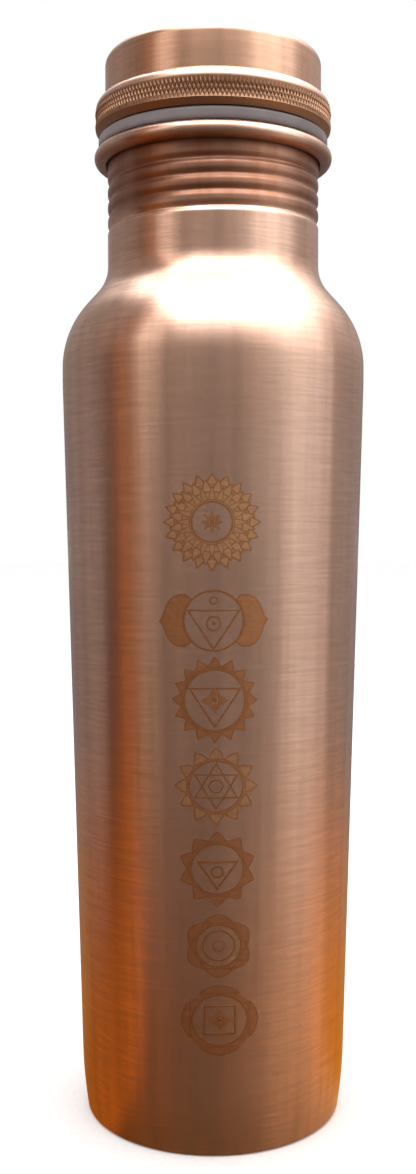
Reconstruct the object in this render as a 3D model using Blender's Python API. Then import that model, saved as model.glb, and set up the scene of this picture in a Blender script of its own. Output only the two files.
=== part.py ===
"""A screw-top copper water bottle: drawn body, wired mouth, pressed lid with a threaded stem.

The bottle stands on the XY plane with its axis on +Z. All sizes are in metres.
"""

import math

import bmesh
import bpy
from mathutils import Matrix

# Sheet metal and fits
WALL = 0.0006
GAP = 0.0003
SEGMENTS = 40

# Body: a long taper that widens upwards, a rounded shoulder and a straight neck
FOOT_RADIUS = 0.03117
FOOT_EDGE = 0.0010
FOOT_CURVE_TOP = 0.0150
TAPER_LOW_RADIUS = 0.03257
BODY_RADIUS = 0.0368
TAPER_TOP = 0.1780
SHOULDER_START = 0.1825
SHOULDER_ROUND = 0.0223
SHOULDER_SLOPE = math.radians(41.9)
NECK_FILLET = 0.0102
NECK_RADIUS = 0.02568
HEM_INNER_RADIUS = 0.0284

# Mouth: the neck's edge is curled outwards over a wire
CURL_HEIGHT = 0.2330
CURL_ROUND = 0.0019
CURL_RADIUS = NECK_RADIUS - WALL + CURL_ROUND
CURL_END = math.radians(-118)
WIRE_ROUND = CURL_ROUND - WALL - GAP

# Right-hand thread, rolled into the neck's wall and into the stem
THREAD_PITCH = 0.0036
THREAD_DEPTH = 0.0006
THREAD_CREST = 0.2157
THREAD_LOW = 0.2148
THREAD_HIGH = 0.2290
THREAD_FADE = 0.0010
ROWS_PER_PITCH = 5

# Base: a dished disc that stands on the body's hem
BASE_PANEL_RADIUS = 0.0240
BASE_STEP = 0.0023
BASE_RISE = 0.0017

# Lid
GASKET_LOW = CURL_HEIGHT + CURL_ROUND + GAP
GASKET_HIGH = 0.23795
GASKET_RADIUS = 0.0279
GASKET_EDGE = 0.0008
LID_FOOT = GASKET_HIGH + GAP
CAP_RADIUS = 0.0262
CAP_TOP = 0.2574
CAP_FILLET = 0.0025
RING_RADIUS = 0.0285
RING_FOOT_RADIUS = 0.0275
RING_CHAMFER_TOP = 0.2396
RING_ROUND_START = 0.2442
RING_ROUND = 0.0028
STEM_CREST_RADIUS = NECK_RADIUS - WALL - GAP
STEM_ROOT_RADIUS = STEM_CREST_RADIUS - THREAD_DEPTH
STEM_BORE = 0.0235
STEM_LOW = 0.2128
END_DISC_LIP = 0.0040


def arc(centre_radius, centre_height, size, start, end, steps):
    """Points along an arc in the (radius, height) plane, from one angle to the other."""
    points = []
    for step in range(steps + 1):
        angle = start + (end - start) * step / steps
        points.append((centre_radius + size * math.cos(angle), centre_height + size * math.sin(angle)))
    return points


def taper_radius(height):
    """The body's outer radius below the shoulder: a straight taper that draws in near the foot."""
    slope = (BODY_RADIUS - TAPER_LOW_RADIUS) / (TAPER_TOP - FOOT_CURVE_TOP)
    straight = TAPER_LOW_RADIUS + slope * (height - FOOT_CURVE_TOP)
    if height >= FOOT_CURVE_TOP:
        return straight
    drawn_in = TAPER_LOW_RADIUS - slope * FOOT_CURVE_TOP - FOOT_RADIUS
    return straight - drawn_in * (1 - height / FOOT_CURVE_TOP) ** 2


def thread_rows(low, high):
    """Heights of the rows that carry a thread, evenly spaced."""
    count = round((high - low) * ROWS_PER_PITCH / THREAD_PITCH)
    return [low + (high - low) * row / count for row in range(count + 1)]


def thread_wave(height, angle):
    """0 on the thread's crest, 1 in its groove. The crest climbs anticlockwise, seen from above."""
    turns = (height - THREAD_CREST) / THREAD_PITCH - angle / math.tau
    return 0.5 - 0.5 * math.cos(math.tau * turns)


def thread_strength(height):
    """How much of the thread's depth is there: it runs out at both ends."""
    inside = min(height - THREAD_LOW, THREAD_HIGH - height) / THREAD_FADE
    return max(0.0, min(1.0, inside))


def body_skin(inset):
    """The body's side from the top of the foot's edge up to the mouth, moved inwards by inset."""
    shoulder = arc(
        BODY_RADIUS - SHOULDER_ROUND, SHOULDER_START, SHOULDER_ROUND - inset, 0, SHOULDER_SLOPE, 4
    )
    fillet_drop = NECK_FILLET * (1 - math.cos(SHOULDER_SLOPE))
    shoulder_end = BODY_RADIUS - SHOULDER_ROUND * (1 - math.cos(SHOULDER_SLOPE))
    cone_width = shoulder_end - NECK_RADIUS - fillet_drop
    cone_end = SHOULDER_START + SHOULDER_ROUND * math.sin(SHOULDER_SLOPE) + cone_width / math.tan(SHOULDER_SLOPE)
    neck_start = cone_end + NECK_FILLET * math.sin(SHOULDER_SLOPE)
    fillet = arc(
        NECK_RADIUS + NECK_FILLET, neck_start, NECK_FILLET + inset, math.pi + SHOULDER_SLOPE, math.pi, 3
    )
    foot = [FOOT_EDGE, 0.004, 0.009, FOOT_CURVE_TOP, TAPER_TOP]
    points = [(taper_radius(height) - inset, height) for height in foot]
    points += shoulder + fillet
    points += [(NECK_RADIUS - inset, height) for height in thread_rows(THREAD_LOW, THREAD_HIGH)]
    return points


def body_outline():
    """Up the outside, round the curled mouth, down the inside and round the hem at the foot."""
    edge_radius = taper_radius(FOOT_EDGE) - FOOT_EDGE
    curl = (CURL_RADIUS, CURL_HEIGHT)
    outline = body_skin(0.0)
    outline += arc(*curl, CURL_ROUND - WALL, math.pi, CURL_END, 9)
    outline += arc(*curl, CURL_ROUND, CURL_END, math.pi, 11)
    outline += reversed(body_skin(WALL))
    outline += arc(edge_radius, FOOT_EDGE, FOOT_EDGE - WALL, -math.pi / 6, -math.pi / 2, 2)
    outline += [(HEM_INNER_RADIUS, WALL), (HEM_INNER_RADIUS, 0.0)]
    outline += arc(edge_radius, FOOT_EDGE, FOOT_EDGE, -math.pi / 2, -math.pi / 6, 2)
    return outline


def base_outline():
    """A disc whose rim stands on the hem and whose middle panel is raised."""
    rim_radius = taper_radius(FOOT_EDGE) - WALL - GAP
    low = WALL + GAP
    step_radius = BASE_PANEL_RADIUS + BASE_STEP
    high = low + BASE_RISE
    return [
        (0.0, high),
        (BASE_PANEL_RADIUS, high),
        (step_radius, low),
        (rim_radius, low),
        (rim_radius, low + WALL),
        (step_radius, low + WALL),
        (BASE_PANEL_RADIUS, high + WALL),
        (0.0, high + WALL),
    ]


def wire_outline():
    return arc(CURL_RADIUS, CURL_HEIGHT, WIRE_ROUND, 0, math.tau, 8)[:-1]


def gasket_outline():
    """A flat washer with rounded outer edges."""
    edge_radius = GASKET_RADIUS - GASKET_EDGE
    inner_radius = STEM_ROOT_RADIUS + GAP
    outline = [(inner_radius, GASKET_LOW)]
    outline += arc(edge_radius, GASKET_LOW + GASKET_EDGE, GASKET_EDGE, -math.pi / 2, 0, 3)
    outline += arc(edge_radius, GASKET_HIGH - GASKET_EDGE, GASKET_EDGE, 0, math.pi / 2, 3)
    outline += [(inner_radius, GASKET_HIGH)]
    return outline


def cap_outline():
    """A pressed cup, open downwards. Its edge stands on the stem's flange."""
    foot = LID_FOOT + WALL + GAP
    corner = (CAP_RADIUS - CAP_FILLET, CAP_TOP - CAP_FILLET)
    outline = [(CAP_RADIUS, foot)]
    outline += arc(*corner, CAP_FILLET, 0, math.pi / 2, 5)
    outline += [(0.0, CAP_TOP), (0.0, CAP_TOP - WALL)]
    outline += arc(*corner, CAP_FILLET - WALL, math.pi / 2, 0, 4)
    outline += [(CAP_RADIUS - WALL, foot)]
    return outline


def ring_outline():
    """A solid grip ring round the cap's foot, chamfered below and rounded into the cap above."""
    inner_radius = CAP_RADIUS + GAP
    round_centre = RING_RADIUS - RING_ROUND
    round_end = math.acos((inner_radius - round_centre) / RING_ROUND)
    outline = [(inner_radius, LID_FOOT), (RING_FOOT_RADIUS, LID_FOOT), (RING_RADIUS, RING_CHAMFER_TOP)]
    outline += arc(round_centre, RING_ROUND_START, RING_ROUND, 0, round_end, 5)
    return outline


def stem_outline():
    """A tube with a flange at its top and the male thread round its lower part."""
    outline = [(CAP_RADIUS, LID_FOOT + WALL), (CAP_RADIUS, LID_FOOT), (STEM_ROOT_RADIUS, LID_FOOT)]
    outline += [(STEM_ROOT_RADIUS, height) for height in reversed(thread_rows(THREAD_LOW, THREAD_HIGH))]
    outline += [(STEM_ROOT_RADIUS, STEM_LOW), (STEM_BORE, STEM_LOW), (STEM_BORE, LID_FOOT + WALL)]
    return outline


def end_disc_outline():
    """A shallow cup pressed into the stem's lower end, which closes it."""
    radius = STEM_BORE - GAP
    low = STEM_LOW + GAP
    return [
        (0.0, low),
        (radius, low),
        (radius, low + END_DISC_LIP),
        (radius - WALL, low + END_DISC_LIP),
        (radius - WALL, low + WALL),
        (0.0, low + WALL),
    ]


def spin_outline(outline):
    """A closed solid turned round +Z from an outline of (radius, height) points."""
    bm = bmesh.new()
    verts = [bm.verts.new((radius, 0.0, height)) for radius, height in outline]
    on_axis = outline[0][0] == 0.0 and outline[-1][0] == 0.0
    pairs = list(zip(verts, verts[1:]))
    if not on_axis:
        pairs.append((verts[-1], verts[0]))
    edges = [bm.edges.new(pair) for pair in pairs if not (pair[0].co.x == 0.0 and pair[1].co.x == 0.0)]
    bmesh.ops.spin(
        bm,
        geom=verts + edges,
        cent=(0, 0, 0),
        axis=(0, 0, 1),
        angle=math.tau,
        steps=SEGMENTS,
        use_merge=True,
    )
    bmesh.ops.remove_doubles(bm, verts=bm.verts, dist=1e-6)
    bmesh.ops.recalc_face_normals(bm, faces=bm.faces)
    return bm


def press_thread(bm, lowest_radius, highest_radius, shift):
    """Moves the skin between two radii in or out along the thread. shift(wave) gives the radial move."""
    for vert in bm.verts:
        radius = math.hypot(vert.co.x, vert.co.y)
        strength = thread_strength(vert.co.z)
        if strength == 0.0 or not lowest_radius < radius < highest_radius:
            continue
        wave = thread_wave(vert.co.z, math.atan2(vert.co.y, vert.co.x))
        scale = 1 + strength * shift(wave) / radius
        vert.co.x *= scale
        vert.co.y *= scale


def metal_material(name, colour, roughness, metallic=1.0):
    material = bpy.data.materials.new(name)
    material.use_nodes = True
    shader = material.node_tree.nodes["Principled BSDF"]
    shader.inputs["Base Color"].default_value = (*colour, 1.0)
    shader.inputs["Roughness"].default_value = roughness
    shader.inputs["Metallic"].default_value = metallic
    material.diffuse_color = (*colour, 1.0)
    return material


def finished_object(name, bm, material, parent=None):
    """Turns the mesh into a smooth-shaded object on its parent empty."""
    mesh = bpy.data.meshes.new(name)
    bm.to_mesh(mesh)
    bm.free()
    mesh.shade_smooth()
    mesh.set_sharp_from_angle(angle=math.radians(35))
    mesh.materials.append(material)
    obj = bpy.data.objects.new(name, mesh)
    bpy.context.scene.collection.objects.link(obj)
    if parent:
        obj.parent = parent
        obj.matrix_parent_inverse = Matrix.Translation(-parent_place(parent))
    return obj


def parent_place(empty):
    """An empty's place in the world, up through its own parents."""
    place = empty.location.copy()
    while empty.parent:
        empty = empty.parent
        place += empty.location
    return place


def axis_empty(name, height, parent=None):
    """An empty on the bottle's axis, which the pieces of one moving body hang on."""
    empty = bpy.data.objects.new(name, None)
    empty.empty_display_type = "SINGLE_ARROW"
    empty.empty_display_size = 0.05
    empty.location = (0.0, 0.0, height)
    empty.parent = parent
    bpy.context.scene.collection.objects.link(empty)
    return empty


def clear_scene():
    for obj in list(bpy.data.objects):
        bpy.data.objects.remove(obj, do_unlink=True)


def build_bottle():
    shell = spin_outline(body_outline())
    press_thread(shell, STEM_CREST_RADIUS, NECK_RADIUS + GAP, lambda wave: -THREAD_DEPTH * wave)
    finished_object("body_shell", shell, metal_material("brushed_copper", (0.60, 0.33, 0.20), 0.32))
    finished_object(
        "rim_wire", spin_outline(wire_outline()), metal_material("copper_wire", (0.50, 0.27, 0.17), 0.40)
    )
    finished_object(
        "base_disc", spin_outline(base_outline()), metal_material("base_copper", (0.55, 0.30, 0.19), 0.38)
    )


def build_lid():
    lift = axis_empty("lid_lift", GASKET_LOW)
    turn = axis_empty("lid_turn", LID_FOOT - GASKET_LOW, lift)
    silicone = metal_material("clear_silicone", (0.55, 0.52, 0.51), 0.45, metallic=0.0)
    lid_copper = metal_material("lid_copper", (0.58, 0.36, 0.24), 0.30)
    stem_copper = metal_material("stem_copper", (0.50, 0.27, 0.17), 0.42)

    finished_object("cap_gasket", spin_outline(gasket_outline()), silicone, lift)
    finished_object("cap_shell", spin_outline(cap_outline()), lid_copper, turn)
    finished_object(
        "knurled_ring",
        spin_outline(ring_outline()),
        metal_material("knurled_copper", (0.42, 0.24, 0.15), 0.45),
        turn,
    )
    stem = spin_outline(stem_outline())
    press_thread(stem, STEM_BORE + GAP, STEM_CREST_RADIUS, lambda wave: THREAD_DEPTH * (1 - wave))
    finished_object("threaded_stem", stem, stem_copper, turn)
    finished_object(
        "stem_end_disc",
        spin_outline(end_disc_outline()),
        metal_material("end_disc_copper", (0.55, 0.30, 0.19), 0.38),
        turn,
    )


clear_scene()
build_bottle()
build_lid()
bpy.context.view_layer.update()
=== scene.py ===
"""A screw-top copper water bottle with seven etched ornaments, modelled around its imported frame.

All sizes are in metres. The bottle stands on the XY plane, its axis is +Z and its front looks along -Y.
"""

import math

import bpy
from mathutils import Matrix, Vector


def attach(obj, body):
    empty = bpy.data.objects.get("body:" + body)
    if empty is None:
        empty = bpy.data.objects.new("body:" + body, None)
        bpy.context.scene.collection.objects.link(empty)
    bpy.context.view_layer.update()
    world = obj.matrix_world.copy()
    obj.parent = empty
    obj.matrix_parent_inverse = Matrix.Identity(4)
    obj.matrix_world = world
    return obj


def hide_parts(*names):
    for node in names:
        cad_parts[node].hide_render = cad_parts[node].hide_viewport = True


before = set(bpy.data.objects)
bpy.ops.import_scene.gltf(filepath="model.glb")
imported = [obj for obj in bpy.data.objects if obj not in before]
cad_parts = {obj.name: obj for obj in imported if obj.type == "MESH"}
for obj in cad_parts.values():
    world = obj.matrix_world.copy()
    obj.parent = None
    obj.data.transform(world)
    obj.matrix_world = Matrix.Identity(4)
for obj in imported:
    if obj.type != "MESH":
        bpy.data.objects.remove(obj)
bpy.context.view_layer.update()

bl_info = {
    "name": "Copper Water Bottle",
    "version": (1, 0, 0),
    "blender": (4, 5, 0),
    "location": "3D View > Sidebar > Bottle",
    "description": "Builds a screw-top copper bottle with etched ornaments and its studio",
    "category": "Add Mesh",
}

MM = 0.001

# Sheet metal and fits
WALL = 0.6 * MM
GAP = 0.3 * MM

# How near a point must be to a side or a level to belong to it
NEAR_SIDE = 0.1 * MM
NEAR_LEVEL = 0.01 * MM

# Body
FOOT_RADIUS = 31.17 * MM
FOOT_EDGE = 1.0 * MM
FOOT_CURVE_TOP = 15.0 * MM
TAPER_LOW_RADIUS = 32.57 * MM
BODY_RADIUS = 36.8 * MM
TAPER_TOP = 178.0 * MM
SHOULDER_START = 182.5 * MM
SHOULDER_ROUND = 22.3 * MM
SHOULDER_SLOPE = math.radians(41.9)
NECK_FILLET = 10.2 * MM
NECK_RADIUS = 25.68 * MM
HEM_INNER_RADIUS = 28.4 * MM

# Mouth
CURL_HEIGHT = 233.0 * MM
CURL_ROUND = 1.9 * MM
CURL_RADIUS = NECK_RADIUS - WALL + CURL_ROUND
CURL_END = math.radians(-118)

# Thread
THREAD_CREST = 215.7 * MM
THREAD_LOW = 214.8 * MM
THREAD_HIGH = 229.0 * MM
THREAD_FADE = 1.0 * MM

# Plates: how round their rims are bent, and the rings between a flat panel's edge and its centre
PLATE_BEND = 0.8 * MM
PANEL_RINGS = (18.0 * MM, 12.0 * MM, 6.0 * MM, 0.0)
END_DISC_RINGS = (16.0 * MM, 8.0 * MM, 0.0)

# Base
BASE_PANEL_RADIUS = 24.0 * MM
BASE_STEP = 2.3 * MM
BASE_RISE = 1.7 * MM
BASE_STEP_ROUND = 0.15 * MM

# Lid
GASKET_LOW = CURL_HEIGHT + CURL_ROUND + GAP
GASKET_HIGH = 237.95 * MM
GASKET_RADIUS = 27.9 * MM
GASKET_EDGE = 0.8 * MM
LID_FOOT = GASKET_HIGH + GAP
CAP_RADIUS = 26.2 * MM
CAP_TOP = 257.4 * MM
CAP_FILLET = 2.5 * MM
RING_RADIUS = 28.5 * MM
RING_FOOT_RADIUS = 27.5 * MM
RING_CHAMFER_TOP = 239.6 * MM
RING_ROUND_START = 244.2 * MM
RING_ROUND = 2.8 * MM
KNURL_FLANK = 0.28 * MM
STEM_CREST_RADIUS = NECK_RADIUS - WALL - GAP
STEM_BORE = 23.5 * MM
STEM_LOW = 212.8 * MM
END_DISC_LIP = 4.0 * MM

# Etched ornaments: the materials' places in their list, and how far one level stands over the next
LINE, FIELD, TINT = 0, 1, 2
LEVEL_STEP = 0.006 * MM
ORNAMENT_TOP = 145.0 * MM
ORNAMENT_LOW = 33.3 * MM
ORNAMENT_WALL = 0.08 * MM

# The column's offset to the right in millimetres at its top, and how much more at its foot
COLUMN_OFFSET = -0.35
COLUMN_LEAN = 1.75

# Upright strips that a flat drawing is cut into. They start off its middle, so no cut meets its corners.
STRIP = 1.2 * MM
STRIP_START = 0.37
STRIPS_PER_SIDE = 11

# Studio
CAMERA_PLACE = (-1.24 * MM, -320.0 * MM, 144.0 * MM)
CAMERA_TILT = math.radians(87.32)
CAMERA_LENS = 39.59
FLOOR_RADIUS = 6.0
CARD_RADIUS = 5.0
CARD_HEIGHT = 0.05 * MM
SOFTBOX_PLACE = (0, -0.1, 1.3)
SOFTBOX_SIZE = (1.6, 1.6)
SOFTBOX_RADIANCE = 1.2
UPPER_ROOM_GAIN = 1.6
CEILING_GAIN = 4.4


# ---------------------------------------------------------------------------------------------------------------
# Colours and nodes


def linear(code):
    """The scene-linear colour of an sRGB hex code."""
    shares = [int(code[start : start + 2], 16) / 255 for start in (1, 3, 5)]
    return [s / 12.92 if s <= 0.04045 else ((s + 0.055) / 1.055) ** 2.4 for s in shares]


def add_node(tree, kind, links=None, stops=None, **settings):
    """Adds a node. links gives each input's value or the output it comes from, stops a ramp's colours."""
    node = tree.nodes.new("ShaderNode" + kind)
    for name, value in settings.items():
        setattr(node, name, value)
    if stops:
        ramp = node.color_ramp
        while len(ramp.elements) < len(stops):
            ramp.elements.new(0.5)
        for element, (position, colour) in zip(ramp.elements, stops):
            element.position = position
            element.color = (*colour, 1.0)
    for key, value in (links or {}).items():
        if isinstance(value, bpy.types.NodeSocket):
            tree.links.new(value, node.inputs[key])
        else:
            node.inputs[key].default_value = value
    return node


def new_material(name):
    """A material with its tree and shader."""
    material = bpy.data.materials.new(name)
    material.use_nodes = True
    return material, material.node_tree, material.node_tree.nodes["Principled BSDF"]


def grey(level):
    return (level, level, level)


# ---------------------------------------------------------------------------------------------------------------
# Modelling


def arc(centre_radius, centre_height, size, start, end, steps):
    """Points along an arc in the (radius, height) plane, from one angle to the other."""
    angles = [start + (end - start) * step / steps for step in range(steps + 1)]
    return [(centre_radius + size * math.cos(a), centre_height + size * math.sin(a)) for a in angles]


def levels(low, high, steps):
    return [low + (high - low) * step / steps for step in range(steps + 1)]


def start_piece(name, vertices, radius, fill="NOTHING"):
    """Deselects everything, adds a circle at the origin as a new piece and opens it for editing."""
    bpy.ops.object.select_all(action="DESELECT")
    bpy.ops.mesh.primitive_circle_add(vertices=vertices, radius=radius, fill_type=fill, location=(0, 0, 0))
    piece = bpy.context.object
    piece.name = piece.data.name = name
    bpy.ops.object.mode_set(mode="EDIT")
    bpy.ops.mesh.select_mode(type="VERT")
    bpy.ops.mesh.select_all(action="SELECT")
    return piece


def spun_piece(name, outline, segments, closed=False):
    """Draws an outline of (radius, height) points by extruding one point along it, and spins it round the axis."""
    piece = start_piece(name, 3, MM)
    bpy.ops.mesh.merge(type="CENTER")
    points = list(outline) + ([outline[0]] if closed else [])
    bpy.ops.transform.translate(value=(points[0][0], 0, points[0][1]))
    for here, there in zip(points, points[1:]):
        step = (there[0] - here[0], 0, there[1] - here[1])
        bpy.ops.mesh.extrude_region_move(TRANSFORM_OT_translate={"value": step})
    bpy.ops.mesh.select_all(action="SELECT")
    bpy.ops.mesh.spin(steps=segments, angle=math.tau, center=(0, 0, 0), axis=(0, 0, 1))
    bpy.ops.mesh.select_all(action="SELECT")
    bpy.ops.mesh.remove_doubles(threshold=0.001 * MM)
    bpy.ops.mesh.normals_make_consistent(inside=False)
    bpy.ops.object.mode_set(mode="OBJECT")
    outermost = max(piece.data.polygons, key=lambda face: face.center.xy.length)
    if outermost.normal.xy.dot(outermost.center.xy) < 0:
        piece.data.flip_normals()
    return piece


def apply_modifier(piece, kind, **settings):
    """Adds a modifier with its settings and applies it at once."""
    modifier = piece.modifiers.new(kind.title(), kind)
    for name, value in settings.items():
        setattr(modifier, name, value)
    bpy.context.view_layer.objects.active = piece
    bpy.ops.object.modifier_apply(modifier=modifier.name)


def give_wall(piece, thickness, even=True):
    """Gives a skin its sheet thickness, inwards from the drawn side."""
    apply_modifier(piece, "SOLIDIFY", thickness=thickness, offset=-1.0, use_even_offset=even)


def press(piece, depth, weight):
    """Moves the skin along its normals by depth times weight(place), like a roller that follows the weights."""
    group = piece.vertex_groups.new(name="pressed")
    for vert in piece.data.vertices:
        share = weight(vert.co)
        if share > 0.001:
            group.add([vert.index], share, "REPLACE")
    apply_modifier(piece, "DISPLACE", strength=depth, mid_level=0.0, vertex_group="pressed")
    piece.vertex_groups.clear()


def finish_piece(piece, body, materials, replaces=None, angle=35):
    """Shades the piece, gives it its materials and hangs it on its body."""
    bpy.ops.object.select_all(action="DESELECT")
    piece.select_set(True)
    bpy.context.view_layer.objects.active = piece
    bpy.ops.object.shade_smooth_by_angle(angle=math.radians(angle))
    if not piece.data.materials:
        for material in materials:
            piece.data.materials.append(material)
    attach(piece, body)
    if replaces:
        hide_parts(replaces)
    return piece


# ---------------------------------------------------------------------------------------------------------------
# Shapes of the bottle


def taper_radius(height):
    """The body's outer radius below the shoulder: a straight taper that draws in near the foot."""
    slope = (BODY_RADIUS - TAPER_LOW_RADIUS) / (TAPER_TOP - FOOT_CURVE_TOP)
    straight = TAPER_LOW_RADIUS + slope * (height - FOOT_CURVE_TOP)
    if height >= FOOT_CURVE_TOP:
        return straight
    drawn_in = TAPER_LOW_RADIUS - slope * FOOT_CURVE_TOP - FOOT_RADIUS
    return straight - drawn_in * (1 - height / FOOT_CURVE_TOP) ** 2


def body_outline():
    """The body's outer skin: the hem under the foot, the side, shoulder and neck, and the curl's inner side."""
    outline = [(HEM_INNER_RADIUS, 0.0)]
    outline += arc(taper_radius(FOOT_EDGE) - FOOT_EDGE, FOOT_EDGE, FOOT_EDGE, -math.pi / 2, 0, 8)
    outline += [(taper_radius(z), z) for z in levels(FOOT_EDGE, FOOT_CURVE_TOP, 12)[1:]]
    outline += [(taper_radius(z), z) for z in levels(FOOT_CURVE_TOP, TAPER_TOP, 20)[1:]]
    outline += arc(BODY_RADIUS - SHOULDER_ROUND, SHOULDER_START, SHOULDER_ROUND, 0, SHOULDER_SLOPE, 20)
    fillet_drop = NECK_FILLET * (1 - math.cos(SHOULDER_SLOPE))
    shoulder_end = BODY_RADIUS - SHOULDER_ROUND * (1 - math.cos(SHOULDER_SLOPE))
    cone_width = shoulder_end - NECK_RADIUS - fillet_drop
    cone_end = outline[-1][1] + cone_width / math.tan(SHOULDER_SLOPE)
    neck_start = cone_end + NECK_FILLET * math.sin(SHOULDER_SLOPE)
    centre = (NECK_RADIUS + NECK_FILLET, neck_start)
    outline += arc(*centre, NECK_FILLET, math.pi + SHOULDER_SLOPE, math.pi, 14)
    outline += [(NECK_RADIUS, z) for z in levels(neck_start, THREAD_LOW, 6)[1:-1]]
    outline += [(NECK_RADIUS, z) for z in levels(THREAD_LOW, THREAD_HIGH, 56)]
    outline += [(NECK_RADIUS, z) for z in levels(THREAD_HIGH, CURL_HEIGHT, 4)[1:-1]]
    outline += arc(CURL_RADIUS, CURL_HEIGHT, CURL_ROUND - WALL, math.pi, CURL_END, 24)
    return outline


def thread_groove(place, pitch):
    """How deep the thread's groove is at a place, from 0 on the crest to 1. It runs out at both ends."""
    turns = (place.z - THREAD_CREST) / pitch - math.atan2(place.y, place.x) / math.tau
    ends = min(place.z - THREAD_LOW, THREAD_HIGH - place.z) / THREAD_FADE
    return (0.5 - 0.5 * math.cos(math.tau * turns)), max(0.0, min(1.0, ends))


class BottleSizes(bpy.types.PropertyGroup):
    """Sizes that shape the bottle's pieces."""

    pitch: bpy.props.FloatProperty(
        name="Thread pitch", description="Climb of the thread in one turn", default=3.6 * MM, unit="LENGTH"
    )
    depth: bpy.props.FloatProperty(
        name="Thread depth", description="Depth of the rolled groove", default=0.6 * MM, unit="LENGTH"
    )
    segments: bpy.props.IntProperty(
        name="Segments", description="Steps round each turned piece", default=192, min=48, max=256
    )
    knurls: bpy.props.IntProperty(
        name="Knurls", description="Diamonds round the grip ring", default=180, min=60, max=200
    )
    knurl_depth: bpy.props.FloatProperty(
        name="Knurl depth", description="Height of the knurl's diamonds", default=0.25 * MM, unit="LENGTH"
    )
    lift: bpy.props.FloatProperty(
        name="Etched lift", description="How far an etched field stands out", default=0.02 * MM, unit="LENGTH"
    )


class BottleColours(bpy.types.PropertyGroup):
    """Colours of the bottle's metals and its washer."""

    copper: bpy.props.FloatVectorProperty(
        name="Copper", description="Freshly brushed copper", default=linear("#F2C9B4"), subtype="COLOR", size=3
    )
    aged: bpy.props.FloatVectorProperty(
        name="Aged copper",
        description="Copper with a thin brown film",
        default=linear("#D9A27C"),
        subtype="COLOR",
        size=3,
    )
    dark_film: bpy.props.FloatVectorProperty(
        name="Dark film",
        description="Copper that can't be wiped clean",
        default=linear("#A27058"),
        subtype="COLOR",
        size=3,
    )
    knurl_tip: bpy.props.FloatVectorProperty(
        name="Knurl tip", description="Rubbed tips of the knurl", default=linear("#B89276"), subtype="COLOR", size=3
    )
    knurl_groove: bpy.props.FloatVectorProperty(
        name="Knurl groove",
        description="Brown grooves of the knurl",
        default=linear("#8E6248"),
        subtype="COLOR",
        size=3,
    )
    etched: bpy.props.FloatVectorProperty(
        name="Etched line",
        description="Burnt lines of the ornaments",
        default=linear("#B47C54"),
        subtype="COLOR",
        size=3,
    )
    etched_field: bpy.props.FloatVectorProperty(
        name="Etched field",
        description="Burnt fields of the ornaments",
        default=linear("#C48A62"),
        subtype="COLOR",
        size=3,
    )
    etched_tint: bpy.props.FloatVectorProperty(
        name="Etched tint", description="Lightly burnt petals", default=linear("#D0A07A"), subtype="COLOR", size=3
    )
    silicone: bpy.props.FloatVectorProperty(
        name="Silicone", description="Milky clear washer", default=linear("#ACA0A0"), subtype="COLOR", size=3
    )
    silicone_deep: bpy.props.FloatVectorProperty(
        name="Clear silicone", description="Clearer spots", default=linear("#86787A"), subtype="COLOR", size=3
    )


# ---------------------------------------------------------------------------------------------------------------
# Materials


# Where most of a noise's values lie
NOISE_SPREAD = {"From Min": 0.3, "From Max": 0.7}


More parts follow.
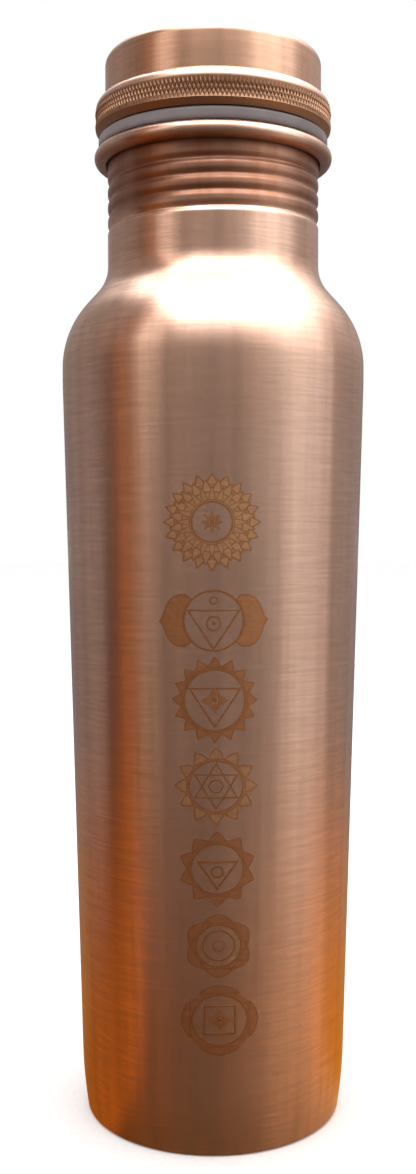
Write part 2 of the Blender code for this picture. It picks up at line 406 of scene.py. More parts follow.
def brushed_copper(name, roughness, aged_share, colours, dark_low=1.0, dark_high=2.0):
    """Copper sheet polished on a lathe with an abrasive belt: fine lines run round it, so lights stretch along
    its height. Upright streaks come from wiping, and a brown film makes some of it warmer, most of all in the
    zone between two heights where a rolled thread can't be wiped. The default zone is above every piece."""
    material, tree, shader = new_material(name)
    place = add_node(tree, "TexCoord").outputs["Object"]
    # Belt lines of about 0.15 mm, drawn four times as coarse so that they show
    fine = add_node(tree, "Mapping", {"Vector": place, "Scale": (90, 90, 1700)})
    lines = add_node(tree, "TexNoise", {"Vector": fine.outputs[0], "Scale": 1.0, "Detail": 3.0, "Roughness": 0.65})
    # Upright streaks, 1 to 5 mm wide
    upright = add_node(tree, "Mapping", {"Vector": place, "Scale": (230, 230, 0.6)})
    streak_noise = {"Vector": upright.outputs[0], "Scale": 1.0, "Detail": 4.0, "Roughness": 0.6}
    streaks = add_node(tree, "TexNoise", streak_noise)
    # Patches of film, about 35 mm wide
    film = add_node(tree, "TexNoise", {"Vector": place, "Scale": 28.0, "Detail": 4.0, "Roughness": 0.6})
    low_share, high_share = aged_share - 0.1, aged_share + 0.15
    share = add_node(
        tree,
        "MapRange",
        {"Value": film.outputs[0], "From Min": 0.3, "From Max": 0.75, "To Min": low_share, "To Max": high_share},
    )
    colour = add_node(
        tree,
        "Mix",
        {"Factor": share.outputs[0], "A": (*colours.copper, 1.0), "B": (*colours.aged, 1.0)},
        data_type="RGBA",
    )
    height = add_node(tree, "SeparateXYZ", {0: place}).outputs[2]
    rise = add_node(tree, "MapRange", {"Value": height, "From Min": dark_low, "From Max": dark_low + 2 * MM})
    fall = add_node(tree, "MapRange", {"Value": height, "From Min": dark_high, "From Max": dark_high - 1.5 * MM})
    zone = add_node(tree, "Math", {0: rise.outputs[0], 1: fall.outputs[0]}, operation="MULTIPLY")
    patchy = add_node(
        tree,
        "MapRange",
        {"Value": streaks.outputs[0], "From Min": 0.35, "From Max": 0.65, "To Min": 0.75, "To Max": 1.0},
    )
    dark = add_node(tree, "Math", {0: zone.outputs[0], 1: patchy.outputs[0]}, operation="MULTIPLY")
    filmed = add_node(
        tree,
        "Mix",
        {"Factor": dark.outputs[0], "A": colour.outputs["Result"], "B": (*colours.dark_film, 1.0)},
        data_type="RGBA",
    )
    line_tone = add_node(
        tree, "MapRange", {"Value": lines.outputs[0], **NOISE_SPREAD, "To Min": 0.87, "To Max": 1.08}
    )
    streak_tone = add_node(
        tree, "MapRange", {"Value": streaks.outputs[0], **NOISE_SPREAD, "To Min": 0.86, "To Max": 1.07}
    )
    tone = add_node(tree, "Math", {0: line_tone.outputs[0], 1: streak_tone.outputs[0]}, operation="MULTIPLY")
    toned = add_node(
        tree,
        "Mix",
        {"Factor": 1.0, "A": filmed.outputs["Result"], "B": tone.outputs[0]},
        data_type="RGBA",
        blend_type="MULTIPLY",
    )
    rough, smooth = roughness + 0.02, roughness - 0.02
    matt = add_node(tree, "MapRange", {"Value": lines.outputs[0], **NOISE_SPREAD, "To Min": rough, "To Max": smooth})
    # The film is matter than the metal under it
    soft = add_node(tree, "Math", {0: dark.outputs[0], 1: 0.13, 2: matt.outputs[0]}, operation="MULTIPLY_ADD")
    bump = add_node(tree, "Bump", {"Height": lines.outputs[0], "Strength": 0.4, "Distance": 0.005 * MM})
    around = add_node(tree, "Tangent", direction_type="RADIAL", axis="Z")
    tree.links.new(toned.outputs["Result"], shader.inputs["Base Color"])
    tree.links.new(soft.outputs[0], shader.inputs["Roughness"])
    tree.links.new(bump.outputs[0], shader.inputs["Normal"])
    tree.links.new(around.outputs[0], shader.inputs["Tangent"])
    shader.inputs["Metallic"].default_value = 1.0
    shader.inputs["Anisotropic"].default_value = 0.75
    shader.inputs["Anisotropic Rotation"].default_value = 0.25
    return material


def knurled_copper(name, colours):
    """Turned copper with a pressed knurl: matt brown in the grooves and rubbed bright on the tips."""
    material, tree, shader = new_material(name)
    place = add_node(tree, "TexCoord").outputs["Object"]
    # Grain of about 1 mm
    grain = add_node(tree, "TexNoise", {"Vector": place, "Scale": 900.0, "Detail": 3.0})
    edges = add_node(tree, "NewGeometry")
    rubbed = add_node(
        tree,
        "MapRange",
        {"Value": edges.outputs["Pointiness"], "From Min": 0.46, "From Max": 0.54, "To Min": 1.0, "To Max": 0.15},
    )
    colour = add_node(
        tree,
        "Mix",
        {"Factor": rubbed.outputs[0], "A": (*colours.knurl_tip, 1.0), "B": (*colours.knurl_groove, 1.0)},
        data_type="RGBA",
    )
    # The smooth rounding over the band is polished like the lid
    height = add_node(tree, "SeparateXYZ", {0: place}).outputs[2]
    polished = RING_ROUND_START + 0.6 * MM
    polish = add_node(tree, "MapRange", {"Value": height, "From Min": RING_ROUND_START, "From Max": polished})
    bright = add_node(
        tree,
        "Mix",
        {"Factor": polish.outputs[0], "A": colour.outputs["Result"], "B": (*colours.copper, 1.0)},
        data_type="RGBA",
    )
    grainy = add_node(tree, "MapRange", {"Value": grain.outputs[0], **NOISE_SPREAD, "To Min": 0.42, "To Max": 0.54})
    smoother = add_node(tree, "MapRange", {"Value": polish.outputs[0], "To Min": 1.0, "To Max": 0.55})
    matt = add_node(tree, "Math", {0: grainy.outputs[0], 1: smoother.outputs[0]}, operation="MULTIPLY")
    tree.links.new(bright.outputs["Result"], shader.inputs["Base Color"])
    tree.links.new(matt.outputs[0], shader.inputs["Roughness"])
    shader.inputs["Metallic"].default_value = 1.0
    return material


def etched_copper(name, tone):
    """Copper marked by a laser: the burnt surface is matt and browner than the brushed ground."""
    material, tree, shader = new_material(name)
    place = add_node(tree, "TexCoord").outputs["Object"]
    # The laser's passes, 0.15 mm apart, drawn three times as coarse
    passes = add_node(tree, "Mapping", {"Vector": place, "Scale": (120, 120, 2200)})
    lines = add_node(tree, "TexNoise", {"Vector": passes.outputs[0], "Scale": 1.0, "Detail": 2.0})
    spots = add_node(tree, "TexNoise", {"Vector": place, "Scale": 700.0, "Detail": 3.0})
    summed = add_node(tree, "Math", {0: lines.outputs[0], 1: spots.outputs[0]}, operation="ADD")
    shade = add_node(
        tree,
        "MapRange",
        {"Value": summed.outputs[0], "From Min": 0.7, "From Max": 1.3, "To Min": 0.86, "To Max": 1.08},
    )
    colour = add_node(
        tree,
        "Mix",
        {"Factor": 1.0, "A": (*tone, 1.0), "B": shade.outputs[0]},
        data_type="RGBA",
        blend_type="MULTIPLY",
    )
    bump = add_node(tree, "Bump", {"Height": spots.outputs[0], "Strength": 0.2, "Distance": 0.01 * MM})
    tree.links.new(colour.outputs["Result"], shader.inputs["Base Color"])
    tree.links.new(bump.outputs[0], shader.inputs["Normal"])
    shader.inputs["Metallic"].default_value = 1.0
    shader.inputs["Roughness"].default_value = 0.5
    return material


def clear_silicone(name, colours):
    """Moulded silicone rubber: clear, slightly milky, with a soft waxy gloss."""
    material, tree, shader = new_material(name)
    place = add_node(tree, "TexCoord").outputs["Object"]
    # Milky clouds, about 6 mm wide
    clouds = add_node(tree, "TexNoise", {"Vector": place, "Scale": 160.0, "Detail": 4.0})
    milk = add_node(
        tree,
        "Mix",
        {"Factor": clouds.outputs[0], "A": (*colours.silicone, 1.0), "B": (*colours.silicone_deep, 1.0)},
        data_type="RGBA",
    )
    matt = add_node(tree, "MapRange", {"Value": clouds.outputs[0], **NOISE_SPREAD, "To Min": 0.3, "To Max": 0.45})
    tree.links.new(milk.outputs["Result"], shader.inputs["Base Color"])
    tree.links.new(matt.outputs[0], shader.inputs["Roughness"])
    shader.inputs["Transmission Weight"].default_value = 0.55
    shader.inputs["IOR"].default_value = 1.41
    return material


def material_named(name, make, *settings):
    """Makes a material once and then reuses it."""
    return bpy.data.materials.get(name) or make(name, *settings)


# ---------------------------------------------------------------------------------------------------------------
# Etched ornaments. Their outlines are drawn flat, in millimetres, and then laid round the body.


def ring_points(radius, centre=(0.0, 0.0), corners=64, turn=0.0):
    angles = [turn + math.tau * step / corners for step in range(corners)]
    return [(centre[0] + radius * math.cos(a), centre[1] + radius * math.sin(a)) for a in angles]


def petal_points(low, high, half, sharp=1.0):
    """A pointed petal along +Y. Its sides run from the base, half as wide as stated, to the tip."""
    side = [(half * math.cos(math.pi / 2 * s) ** sharp, low + (high - low) * s) for s in levels(0, 1, 5)[:-1]]
    return side + [(0.0, high)] + [(-x, y) for x, y in reversed(side)]


def etched(points, line, level, band=LINE, field=None, copies=1, turn=0.0):
    """A band along the inside of an outline. The field within it is burnt as well or cut out, and copies stand
    evenly round the ornament's centre. A higher level lies over a lower one."""
    piece = start_piece("etched_outline", len(points), MM, fill="NGON")
    bpy.ops.object.mode_set(mode="OBJECT")
    for vert, (x, y) in zip(piece.data.vertices, points):
        vert.co = (x * MM, y * MM, level * LEVEL_STEP)
    piece.data.update()
    if piece.data.polygons[0].normal.z < 0:
        piece.data.flip_normals()
    for name in ("etched_line", "etched_field", "etched_tint"):
        piece.data.materials.append(bpy.data.materials[name])
    piece.data.polygons[0].material_index = band
    bpy.ops.object.mode_set(mode="EDIT")
    bpy.ops.mesh.select_mode(type="FACE")
    bpy.ops.mesh.select_all(action="SELECT")
    bpy.ops.mesh.inset(thickness=line * MM)
    if field is None:
        bpy.ops.mesh.delete(type="FACE")
    else:
        piece.active_material_index = field
        bpy.ops.object.material_slot_assign()
    bpy.ops.mesh.select_all(action="SELECT")
    if turn:
        bpy.ops.transform.rotate(value=math.radians(turn), orient_axis="Z", center_override=(0, 0, 0))
    if copies > 1:
        span = math.tau * (copies - 1) / copies
        bpy.ops.mesh.spin(steps=copies - 1, angle=span, dupli=True, center=(0, 0, 0), axis=(0, 0, 1))
    bpy.ops.object.mode_set(mode="OBJECT")
    return piece


def small_flower(petals, radius):
    """A plain rosette that fills an ornament's middle."""
    half = 0.8 * radius * math.tan(math.pi / max(petals, 4))
    flower = etched(petal_points(0.25 * radius, radius, 0.5 * half, 0.8), 0.12, 1, field=FIELD, copies=petals)
    return [flower, etched(ring_points(0.2 * radius, corners=24), 0.08 * radius, 3, field=LINE)]


def crown_ornament():
    """Three layers of twenty petals round a rosette."""
    shapes = [etched(ring_points(8.9), 4.2, 0, band=TINT)]
    shapes += [etched(petal_points(8.2, 11.1, 1.32), 0.34, 0.5, field=TINT, copies=20)]
    shapes += [etched(petal_points(6.6, 9.9, 1.16), 0.28, 1, field=TINT, copies=20, turn=9)]
    shapes += [etched(petal_points(4.9, 8.4, 0.76), 0.20, 2, field=TINT, copies=20)]
    shapes += [etched(ring_points(4.75), 0.42, 3)]
    return shapes + small_flower(8, 2.6)


def brow_ornament():
    """Two broad petals beside a circle, with a triangle and two small rings in it."""
    upper = [(12.4, 0.3), (11.6, 1.1), (11.2, 2.2), (10.6, 3.7), (9.4, 5.2), (7.9, 5.9), (6.2, 5.9)]
    inner = ring_points(6.7, corners=48)
    near = [point for point in inner if point[0] > 4.3]
    near.sort(key=lambda point: point[1])
    outline = upper + near[::-1] + [(x, -y) for x, y in reversed(upper[1:])]
    shapes = [etched(outline, 0.36, 0, field=FIELD, copies=2)]
    shapes += [etched(ring_points(6.9), 0.45, 2)]
    shapes += [etched([(-6.1, 2.5), (0.0, -6.7), (6.1, 2.5)], 0.42, 3)]
    shapes += [etched(ring_points(0.95, (0, 4.5), 24), 0.30, 1), etched(ring_points(1.7, (0, -0.6), 32), 0.38, 1)]
    return shapes + [etched(ring_points(0.45, (0, -0.6), 16), 0.15, 1, field=LINE)]


def petal_ornament(count, tip, circle, sharp=1.0, field=FIELD, filled=0.42, spread=1.02):
    """Evenly set petals that stand on a burnt band round a circle. The band fills some of the petals' length."""
    valley = circle + filled * (tip - circle)
    half = spread * (circle + 0.2) * math.tan(math.pi / count)
    shapes = [etched(ring_points(valley), valley - circle + 0.1, 0, band=field)]
    shapes += [etched(petal_points(circle + 0.2, tip, half, sharp), 0.3, 1, field=field, copies=count)]
    return shapes + [etched(ring_points(circle + 0.1), 0.40, 2)]


def throat_ornament():
    shapes = petal_ornament(16, 9.8, 6.9)
    return shapes + [etched([(-6.1, 2.8), (0.0, -6.4), (6.1, 2.8)], 0.42, 3)] + small_flower(4, 2.9)


def heart_ornament():
    shapes = petal_ornament(12, 9.5, 6.2, field=TINT)
    for start, level in ((90, 3.5), (-90, 2.5)):
        shapes.append(etched(ring_points(5.9, corners=3, turn=math.radians(start)), 0.40, level))
    return shapes + [etched(ring_points(1.7, corners=32), 0.36, 1)]


def middle_ornament():
    shapes = petal_ornament(10, 8.9, 6.0)
    shapes += [etched([(-4.9, 1.9), (0.0, -5.1), (4.9, 1.9)], 0.5, 3)]
    return shapes + [etched(ring_points(1.5, (0, -0.7), 32), 0.5, 1)]


def water_ornament():
    shapes = petal_ornament(6, 7.9, 5.2, 0.7, filled=0.62) + [etched(ring_points(3.8), 0.40, 1)]
    return shapes + [etched(ring_points(1.5, corners=32), 0.45, 1)]


def root_ornament():
    shapes = petal_ornament(4, 9.0, 6.4, 0.7, filled=0.6, spread=0.7)
    shapes += [etched(ring_points(5.2, corners=4, turn=math.pi / 4), 0.42, 3)]
    return shapes + small_flower(4, 2.6)


# ---------------------------------------------------------------------------------------------------------------
# Pieces


class BOTTLE_OT_body(bpy.types.Operator):
    """Build the drawn body with its hem, shoulder, rolled thread and curled mouth"""

    bl_idname = "bottle.body"
    bl_label = "Body"

    def execute(self, context):
        sizes, colours = context.scene.bottle_sizes, context.scene.bottle_colours
        piece = spun_piece("bottle_body", body_outline(), sizes.segments)

        def groove(place):
            wave, ends = thread_groove(place, sizes.pitch)
            on_neck = abs(math.hypot(place.x, place.y) - NECK_RADIUS) < GAP
            return wave**2.2 * ends if on_neck else 0.0

        press(piece, -sizes.depth, groove)
        give_wall(piece, WALL)
        copper = material_named("brushed_copper_sheet", brushed_copper, 0.25, 0.16, colours, 216.4 * MM, CURL_HEIGHT)
        finish_piece(piece, "bottle", [copper], "body_shell")
        return {"FINISHED"}


class BOTTLE_OT_base(bpy.types.Operator):
    """Build the dished base plate"""

    bl_idname = "bottle.base"
    bl_label = "Base plate"

    def execute(self, context):
        sizes, colours = context.scene.bottle_sizes, context.scene.bottle_colours
        low = WALL + GAP
        rim = taper_radius(FOOT_EDGE) - WALL - GAP
        outline = [(rim, low)]
        outline += [(BASE_PANEL_RADIUS + BASE_STEP + PLATE_BEND, low)]
        outline += [(BASE_PANEL_RADIUS + BASE_STEP, low + BASE_STEP_ROUND)]
        outline += [(BASE_PANEL_RADIUS, low + BASE_RISE - BASE_STEP_ROUND)]
        outline += [(BASE_PANEL_RADIUS - PLATE_BEND, low + BASE_RISE)]
        outline += [(r, low + BASE_RISE) for r in PANEL_RINGS]
        piece = spun_piece("base_plate", outline, sizes.segments)
        bpy.ops.object.mode_set(mode="EDIT")
        bpy.ops.mesh.select_all(action="SELECT")
        bpy.ops.mesh.normals_make_consistent(inside=False)
        bpy.ops.object.mode_set(mode="OBJECT")
        if piece.data.polygons[0].normal.z > 0:
            piece.data.flip_normals()
        give_wall(piece, WALL)
        copper = material_named("brushed_copper_base", brushed_copper, 0.33, 0.75, colours)
        finish_piece(piece, "bottle", [copper], "base_disc")
        return {"FINISHED"}


class BOTTLE_OT_washer(bpy.types.Operator):
    """Build the clear washer under the lid"""

    bl_idname = "bottle.washer"
    bl_label = "Washer"

    def execute(self, context):
        sizes, colours = context.scene.bottle_sizes, context.scene.bottle_colours
        edge = GASKET_RADIUS - GASKET_EDGE
        inner = STEM_CREST_RADIUS - sizes.depth + GAP
        outline = [(inner, GASKET_LOW)]
        outline += arc(edge, GASKET_LOW + GASKET_EDGE, GASKET_EDGE, -math.pi / 2, 0, 6)
        outline += arc(edge, GASKET_HIGH - GASKET_EDGE, GASKET_EDGE, 0, math.pi / 2, 6)
        outline += [(inner, GASKET_HIGH)]
        piece = spun_piece("silicone_washer", outline, sizes.segments, closed=True)

        def bulge(place):
            angle = math.atan2(place.y, place.x)
            swell = 0.5 + 0.3 * math.sin(3 * angle + 0.7) + 0.2 * math.sin(7 * angle + 2.1)
            return swell if math.hypot(place.x, place.y) > edge else 0.0

        press(piece, -0.12 * MM, bulge)
        rubber = material_named("clear_silicone_rubber", clear_silicone, colours)
        finish_piece(piece, "seal", [rubber], "cap_gasket")
        return {"FINISHED"}


class BOTTLE_OT_lid_cap(bpy.types.Operator):
    """Build the pressed upper part of the lid"""

    bl_idname = "bottle.lid_cap"
    bl_label = "Lid cap"

    def execute(self, context):
        sizes, colours = context.scene.bottle_sizes, context.scene.bottle_colours
        foot = LID_FOOT + WALL + GAP
        corner = (CAP_RADIUS - CAP_FILLET, CAP_TOP - CAP_FILLET)
        outline = [(CAP_RADIUS, z) for z in levels(foot, corner[1], 4)[:-1]]
        outline += arc(*corner, CAP_FILLET, 0, math.pi / 2, 12)
        outline += [(r, CAP_TOP) for r in PANEL_RINGS]
        piece = spun_piece("lid_cap", outline, sizes.segments)
        give_wall(piece, WALL)
        copper = material_named("brushed_copper_lid", brushed_copper, 0.24, 0.5, colours)
        finish_piece(piece, "cap", [copper], "cap_shell")
        return {"FINISHED"}


class BOTTLE_OT_grip_ring(bpy.types.Operator):
    """Build the grip ring with its diamond knurl"""

    bl_idname = "bottle.grip_ring"
    bl_label = "Grip ring"

    def execute(self, context):
        sizes, colours = context.scene.bottle_sizes, context.scene.bottle_colours
        inner = CAP_RADIUS + GAP
        round_centre = RING_RADIUS - RING_ROUND
        round_end = math.acos((inner - round_centre) / RING_ROUND)
        middle = (RING_CHAMFER_TOP + RING_ROUND_START) / 2
        outline = [(inner, LID_FOOT), (RING_FOOT_RADIUS - GAP, LID_FOOT), (RING_FOOT_RADIUS, LID_FOOT + GAP)]
        outline += [(RING_RADIUS, RING_CHAMFER_TOP), (RING_RADIUS, middle)]
        outline += arc(round_centre, RING_ROUND_START, RING_ROUND, 0, round_end, 9)
        piece = spun_piece("grip_ring", outline, sizes.knurls, closed=True)
        self.knurl(piece, middle, sizes.knurl_depth)
        metal = material_named("knurled_copper_ring", knurled_copper, colours)
        finish_piece(piece, "cap", [metal], "knurled_ring", angle=20)
        return {"FINISHED"}

    def knurl(self, piece, middle, depth):
        """Turns the band's two rows of squares into raised diamonds."""
        mesh = piece.data

        def in_band(place):
            on_side = math.hypot(place.x, place.y) > RING_RADIUS - NEAR_SIDE
            return on_side and RING_CHAMFER_TOP - NEAR_LEVEL < place.z < RING_ROUND_START + NEAR_LEVEL

        self.select(mesh, faces=lambda face: all(in_band(mesh.vertices[v].co) for v in face.vertices))
        bpy.ops.object.mode_set(mode="EDIT")
        bpy.ops.mesh.poke(offset=0.0)
        bpy.ops.object.mode_set(mode="OBJECT")

        def old_edge(edge):
            ends = [mesh.vertices[v].co for v in edge.vertices]
            if not all(in_band(end) for end in ends):
                return False
            rows = (RING_CHAMFER_TOP, middle, RING_ROUND_START)
            on_grid = [min(abs(end.z - z) for z in rows) < NEAR_LEVEL for end in ends]
            level = abs(ends[0].z - ends[1].z) < NEAR_LEVEL
            return all(on_grid) and not (level and abs(ends[0].z - middle) > NEAR_LEVEL)

        self.select(mesh, edges=old_edge)
        bpy.ops.object.mode_set(mode="EDIT")
        bpy.ops.mesh.dissolve_edges(use_verts=False)
        bpy.ops.object.mode_set(mode="OBJECT")
        for vert in mesh.vertices:
            inside = RING_CHAMFER_TOP + NEAR_LEVEL < vert.co.z < RING_ROUND_START - NEAR_LEVEL
            if inside and in_band(vert.co):
                radius = math.hypot(vert.co.x, vert.co.y)
                vert.co.xy *= (RING_RADIUS - depth) / radius
        low, high = RING_CHAMFER_TOP + NEAR_LEVEL, RING_ROUND_START - NEAR_LEVEL

        def diamond(face):
            corners = [mesh.vertices[v].co for v in face.vertices]
            wide = all(math.hypot(c.x, c.y) > RING_RADIUS - 1.5 * depth for c in corners)
            return wide and len(corners) == 4 and low < face.center.z < high and max(c.z for c in corners) < high + MM

        self.select(mesh, faces=diamond)
        bpy.ops.object.mode_set(mode="EDIT")
        bpy.ops.mesh.inset(thickness=KNURL_FLANK, depth=depth * 0.95, use_individual=True)
        bpy.ops.object.mode_set(mode="OBJECT")

    def select(self, mesh, faces=None, edges=None):
        """Selects faces or edges of a mesh by a test, and nothing else."""
        bpy.ops.object.mode_set(mode="EDIT")
        bpy.ops.mesh.select_mode(type="FACE" if faces else "EDGE")
        bpy.ops.mesh.select_all(action="DESELECT")
        bpy.ops.object.mode_set(mode="OBJECT")
        for item in mesh.polygons if faces else mesh.edges:
            item.select = (faces or edges)(item)


class BOTTLE_OT_stem(bpy.types.Operator):
    """Build the threaded stem and the plate in its lower end"""

    bl_idname = "bottle.stem"
    bl_label = "Stem"

    def execute(self, context):
        sizes, colours = context.scene.bottle_sizes, context.scene.bottle_colours
        root = STEM_CREST_RADIUS - sizes.depth
        outline = [(CAP_RADIUS, LID_FOOT + WALL), (CAP_RADIUS, LID_FOOT), (root, LID_FOOT)]
        outline += [(root, z) for z in levels(LID_FOOT, THREAD_HIGH, 4)[1:-1]]
        outline += [(root, z) for z in levels(THREAD_HIGH, THREAD_LOW, 56)]
        outline += [(root, STEM_LOW), (STEM_BORE, STEM_LOW), (STEM_BORE, LID_FOOT + WALL)]
        piece = spun_piece("threaded_stem_tube", outline, 144, closed=True)

        def ridge(place):
            wave, ends = thread_groove(place, sizes.pitch)
            on_side = math.hypot(place.x, place.y) > root - NEAR_SIDE
            return (1 - wave) * ends if on_side else 0.0

        press(piece, sizes.depth, ridge)
        copper = material_named("turned_copper_stem", brushed_copper, 0.34, 0.7, colours)
        finish_piece(piece, "cap", [copper], "threaded_stem")

        radius, low = STEM_BORE - GAP, STEM_LOW + GAP
        plate = [(radius, low + END_DISC_LIP)]
        plate += arc(radius - PLATE_BEND, low + PLATE_BEND, PLATE_BEND, 0, -math.pi / 2, 6)
        plate += [(r, low) for r in END_DISC_RINGS]
        disc = spun_piece("stem_plate", plate, 144)
        give_wall(disc, WALL)
        copper = material_named("brushed_copper_base", brushed_copper, 0.33, 0.75, colours)
        finish_piece(disc, "cap", [copper], "stem_end_disc")
        return {"FINISHED"}


class BOTTLE_OT_wire(bpy.types.Operator):
    """Give the wire inside the curled mouth its drawn copper"""

    bl_idname = "bottle.wire"
    bl_label = "Rim wire"

    def execute(self, context):
        copper = material_named("drawn_copper_wire", brushed_copper, 0.38, 0.8, context.scene.bottle_colours)
        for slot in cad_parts["rim_wire"].material_slots:
            slot.material = copper
        return {"FINISHED"}


class BOTTLE_OT_ornaments(bpy.types.Operator):
    """Etch the seven ornaments down the front of the body"""

    bl_idname = "bottle.ornaments"
    bl_label = "Ornaments"

    def execute(self, context):
        sizes, colours = context.scene.bottle_sizes, context.scene.bottle_colours
        for name, tone in (("line", colours.etched), ("field", colours.etched_field), ("tint", colours.etched_tint)):
            material_named("etched_" + name, etched_copper, tone)
        column = (
            ("crown", 145.0, 0.98, crown_ornament),
            ("brow", 123.2, 1.0, brow_ornament),
            ("throat", 105.5, 1.0, throat_ornament),
            ("heart", 86.1, 0.94, heart_ornament),
            ("middle", 67.3, 0.97, middle_ornament),
            ("water", 49.7, 0.95, water_ornament),
            ("root", 32.5, 0.92, root_ornament),
        )
        for name, height, squash, draw in column:
            piece = self.joined(name + "_ornament", draw())
            self.cut_strips(piece)
            self.lay_round(piece, height * MM, squash, sizes.lift)
            give_wall(piece, ORNAMENT_WALL, even=False)
            finish_piece(piece, "bottle", [], angle=30)
        return {"FINISHED"}

    def joined(self, name, shapes):
        bpy.ops.object.select_all(action="DESELECT")
        for shape in shapes:
            shape.select_set(True)
        bpy.context.view_layer.objects.active = shapes[0]
        bpy.ops.object.join()
        piece = shapes[0]
        piece.name = piece.data.name = name
        return piece

    def cut_strips(self, piece):
        """Cuts the flat drawing into upright strips, so that it can follow the body's round side."""
        bpy.context.view_layer.objects.active = piece
        bpy.ops.object.mode_set(mode="EDIT")
        for step in range(-STRIPS_PER_SIDE, STRIPS_PER_SIDE + 1):
            bpy.ops.mesh.select_all(action="SELECT")
            bpy.ops.mesh.bisect(plane_co=((step + STRIP_START) * STRIP, 0, 0), plane_no=(1, 0, 0))
        bpy.ops.object.mode_set(mode="OBJECT")

    def lay_round(self, piece, height, squash, lift):
        """Lays the drawing on the taper. The column leans a little to the right towards the foot."""
        lean = (ORNAMENT_TOP - height) / (ORNAMENT_TOP - ORNAMENT_LOW)
        for vert in piece.data.vertices:
            z = height + squash * vert.co.y
            angle = (vert.co.x + (COLUMN_OFFSET + COLUMN_LEAN * lean) * MM) / taper_radius(z)
            radius = taper_radius(z) + lift + vert.co.z
            vert.co = (radius * math.sin(angle), -radius * math.cos(angle), z)


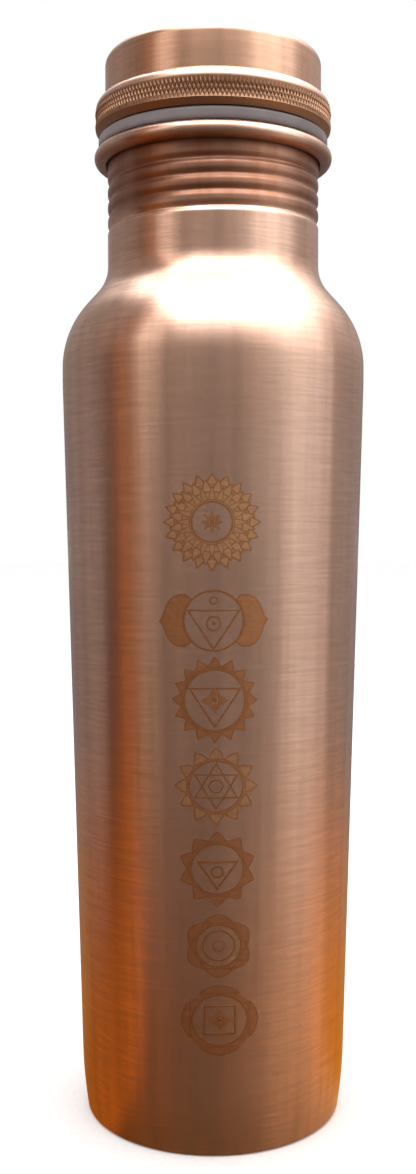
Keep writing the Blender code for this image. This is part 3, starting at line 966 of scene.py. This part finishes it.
class BOTTLE_OT_stage(bpy.types.Operator):
    """Set up the floor, the soft lights, the mirrored room and the camera"""

    bl_idname = "bottle.stage"
    bl_label = "Studio"

    def execute(self, context):
        self.floor()
        self.table_card()
        self.sky(context.scene)
        self.light("overhead_softbox", SOFTBOX_PLACE, SOFTBOX_SIZE, SOFTBOX_RADIANCE)
        self.camera(context.scene)
        context.scene.view_settings.view_transform = "Standard"
        return {"FINISHED"}

    def disc(self, name, radius, height):
        bpy.ops.object.select_all(action="DESELECT")
        bpy.ops.mesh.primitive_circle_add(vertices=96, radius=radius, fill_type="NGON", location=(0, 0, height))
        bpy.ops.object.transform_apply(location=True)
        disc = bpy.context.object
        disc.name = disc.data.name = name
        return disc

    def floor(self):
        floor = self.disc("studio_floor", FLOOR_RADIUS, 0.0)
        material, tree, shader = new_material("matt_white_paper")
        place = add_node(tree, "TexCoord").outputs["Object"]
        fibres = add_node(tree, "TexNoise", {"Vector": place, "Scale": 900.0, "Detail": 2.0})
        tone = add_node(tree, "ValToRGB", {"Fac": fibres.outputs[0]}, [(0.3, grey(0.80)), (0.7, grey(0.84))])
        tree.links.new(tone.outputs[0], shader.inputs["Base Color"])
        shader.inputs["Roughness"].default_value = 0.9
        shader.inputs["Specular IOR Level"].default_value = 0.1
        floor.data.materials.append(material)

    def round_colour(self, tree, place, stops):
        """A colour by the direction round the bottle, from the back by the left, the front and the right."""
        parts = add_node(tree, "SeparateXYZ", {0: place})
        front = add_node(tree, "Math", {0: parts.outputs[1], 1: -1.0}, operation="MULTIPLY")
        angle = add_node(tree, "Math", {0: parts.outputs[0], 1: front.outputs[0]}, operation="ARCTAN2")
        share = add_node(tree, "MapRange", {"Value": angle.outputs[0], "From Min": -math.pi, "From Max": math.pi})
        ramp = [((degrees + 180) / 360, linear(code)) for degrees, code in stops]
        return add_node(tree, "ValToRGB", {"Fac": share.outputs[0]}, ramp).outputs[0]

    def room_colour(self, tree, place):
        """The room beyond the table: a window on the right, a dark door and a warm curtain on the left."""
        stops = [(-180, "#807876"), (-120, "#868080"), (-99, "#8E8888"), (-86, "#4E3C34"), (-69, "#94602E")]
        stops += [(-52, "#8E8070"), (-40, "#726A62"), (-24, "#7E746C"), (-4, "#6C6460"), (14, "#7E7670")]
        stops += [(22, "#78726E"), (35, "#86827E"), (52, "#9E9C9A"), (67, "#DCDEDC"), (82, "#CCCED0")]
        stops += [(92, "#B2AEAD"), (96, "#D8D6D4"), (100, "#9C9897"), (180, "#807876")]
        return self.round_colour(tree, place, stops)

    def upper_room_colour(self, tree, place):
        """The same room above the table's height, where the windows are widest. It is shown brighter than this."""
        stops = [(-180, "#8C8480"), (-140, "#7A7674"), (-98, "#7C7674"), (-84, "#746660"), (-68, "#8C7464")]
        stops += [(-56, "#DCD4CE"), (-44, "#CEC6C0"), (-34, "#827872"), (-4, "#706862"), (18, "#7C746E")]
        stops += [(38, "#B8B4B0")]
        stops += [(54, "#F4F6F6"), (86, "#F4F6F6"), (104, "#A09C9A"), (180, "#8C8480")]
        return self.round_colour(tree, place, stops)

    def table_card(self):
        """Painted reflection: a glowing brown disc under the bottle, hidden from the camera, that only its copper
        mirrors as a brown table top. The floor itself stays white.
        """
        card = self.disc("table_card", CARD_RADIUS, CARD_HEIGHT)
        material, tree, shader = new_material("brown_table_glow")
        place = add_node(tree, "TexCoord").outputs["Object"]
        stops = [(-180, "#A07850"), (-132, "#A87438"), (-100, "#A46018"), (-57, "#A86018"), (-44, "#74481F")]
        stops += [(-10, "#684B2C"), (15, "#725436"), (35, "#987654"), (67, "#C4986C"), (85, "#DCA060")]
        stops += [(100, "#D68E2C"), (118, "#D08624"), (135, "#C88A44"), (180, "#A07850")]
        near = self.round_colour(tree, place, stops)
        far = add_node(tree, "VectorMath", {0: place}, operation="LENGTH")
        share = add_node(tree, "MapRange", {"Value": far.outputs["Value"], "From Min": 0.09, "From Max": 0.48})
        beyond = self.room_colour(tree, place)
        mix = add_node(tree, "Mix", {"Factor": share.outputs[0], "A": near, "B": beyond}, data_type="RGBA")
        # Painted reflection: the disc glows brown and orange round the bottle and fades into the room's colours
        # further out
        glow = add_node(tree, "Emission", {"Color": mix.outputs["Result"]})
        tree.links.new(glow.outputs[0], tree.nodes["Material Output"].inputs["Surface"])
        card.data.materials.append(material)
        # Only the copper's mirror rays see the glowing disc, so it shows only as a painted reflection
        card.visible_camera = card.visible_diffuse = card.visible_shadow = card.visible_transmission = False

    def sky(self, scene):
        """White to the camera. The copper mirrors the room instead, under a broad white ceiling."""
        world = bpy.data.worlds.new("soft_studio")
        scene.world = world
        world.use_nodes = True
        tree = world.node_tree
        path = add_node(tree, "LightPath")
        view = add_node(tree, "TexCoord").outputs["Generated"]
        across, _, up = add_node(tree, "SeparateXYZ", {0: view}).outputs
        stops = [(0.36, grey(0.0)), (0.48, grey(0.08)), (0.58, grey(0.2)), (0.70, grey(0.4))]
        stops += [(0.78, (0.94, 0.97, 1.0))]
        ceiling = add_node(tree, "ValToRGB", {"Fac": up}, stops)
        # The ceiling's left side is unlit
        lit = add_node(
            tree, "MapRange", {"Value": across, "From Min": -0.56, "From Max": -0.32, "To Max": CEILING_GAIN}
        )
        rise = add_node(tree, "MapRange", {"Value": up, "From Min": 0.04, "From Max": 0.26})
        upper_colour = self.upper_room_colour(tree, view)
        upper = add_node(tree, "VectorMath", {0: upper_colour, "Scale": UPPER_ROOM_GAIN}, operation="SCALE")
        wall = add_node(
            tree,
            "Mix",
            {"Factor": rise.outputs[0], "A": self.room_colour(tree, view), "B": upper.outputs[0]},
            data_type="RGBA",
        )
        walls = add_node(tree, "Background", {"Color": wall.outputs["Result"]})
        white = add_node(tree, "Background", {"Color": ceiling.outputs[0], "Strength": lit.outputs[0]})
        room = add_node(tree, "AddShader", {0: walls.outputs[0], 1: white.outputs[0]})
        bounced = add_node(tree, "MapRange", {"Value": path.outputs["Is Diffuse Ray"], "To Min": 1.0, "To Max": 1.25})
        plain = tree.nodes["Background"]
        plain.inputs["Color"].default_value = (1, 1, 1, 1)
        tree.links.new(bounced.outputs[0], plain.inputs["Strength"])
        mix = add_node(tree, "MixShader", {0: path.outputs["Is Glossy Ray"], 1: plain.outputs[0], 2: room.outputs[0]})
        tree.links.new(mix.outputs[0], tree.nodes["World Output"].inputs["Surface"])
        world.cycles.sampling_method = "NONE"

    def light(self, name, place, size, radiance):
        """A white area light aimed at the bottle's middle. Its power follows from the brightness of its face."""
        data = bpy.data.lights.new(name, "AREA")
        data.shape = "RECTANGLE"
        data.size, data.size_y = size
        data.energy = radiance * math.pi * size[0] * size[1]
        light = bpy.data.objects.new(name, data)
        bpy.context.scene.collection.objects.link(light)
        light.location = place
        aim = Vector((0, 0, 0.13)) - Vector(place)
        light.rotation_euler = aim.to_track_quat("-Z", "Y").to_euler()
        light.visible_camera = light.visible_glossy = False

    def camera(self, scene):
        data = bpy.data.cameras.new("camera")
        data.lens = CAMERA_LENS
        data.sensor_width = 36.0
        data.clip_start = 0.01
        camera = bpy.data.objects.new("camera", data)
        scene.collection.objects.link(camera)
        camera.location = CAMERA_PLACE
        camera.rotation_euler = (CAMERA_TILT, 0, 0)
        scene.camera = camera


PIECES = (
    BOTTLE_OT_body,
    BOTTLE_OT_wire,
    BOTTLE_OT_base,
    BOTTLE_OT_washer,
    BOTTLE_OT_lid_cap,
    BOTTLE_OT_grip_ring,
    BOTTLE_OT_stem,
    BOTTLE_OT_ornaments,
    BOTTLE_OT_stage,
)


class BOTTLE_PT_panel(bpy.types.Panel):
    """Lists the bottle's pieces, sizes and colours."""

    bl_idname = "BOTTLE_PT_panel"
    bl_label = "Copper Bottle"
    bl_space_type = "VIEW_3D"
    bl_region_type = "UI"
    bl_category = "Bottle"

    def draw(self, context):
        for group in (context.scene.bottle_sizes, context.scene.bottle_colours):
            for name in group.bl_rna.properties.keys():
                if name not in ("rna_type", "name"):
                    self.layout.prop(group, name)
        for piece in PIECES:
            self.layout.operator(piece.bl_idname)


CLASSES = (BottleSizes, BottleColours, *PIECES, BOTTLE_PT_panel)


def register():
    for cls in CLASSES:
        bpy.utils.register_class(cls)
    bpy.types.Scene.bottle_sizes = bpy.props.PointerProperty(type=BottleSizes)
    bpy.types.Scene.bottle_colours = bpy.props.PointerProperty(type=BottleColours)


def unregister():
    del bpy.types.Scene.bottle_colours
    del bpy.types.Scene.bottle_sizes
    for cls in reversed(CLASSES):
        bpy.utils.unregister_class(cls)


def main():
    register()
    for piece in PIECES:
        group, name = piece.bl_idname.split(".")
        getattr(getattr(bpy.ops, group), name)()
    bpy.context.view_layer.update()


if __name__ == "__main__":
    main()
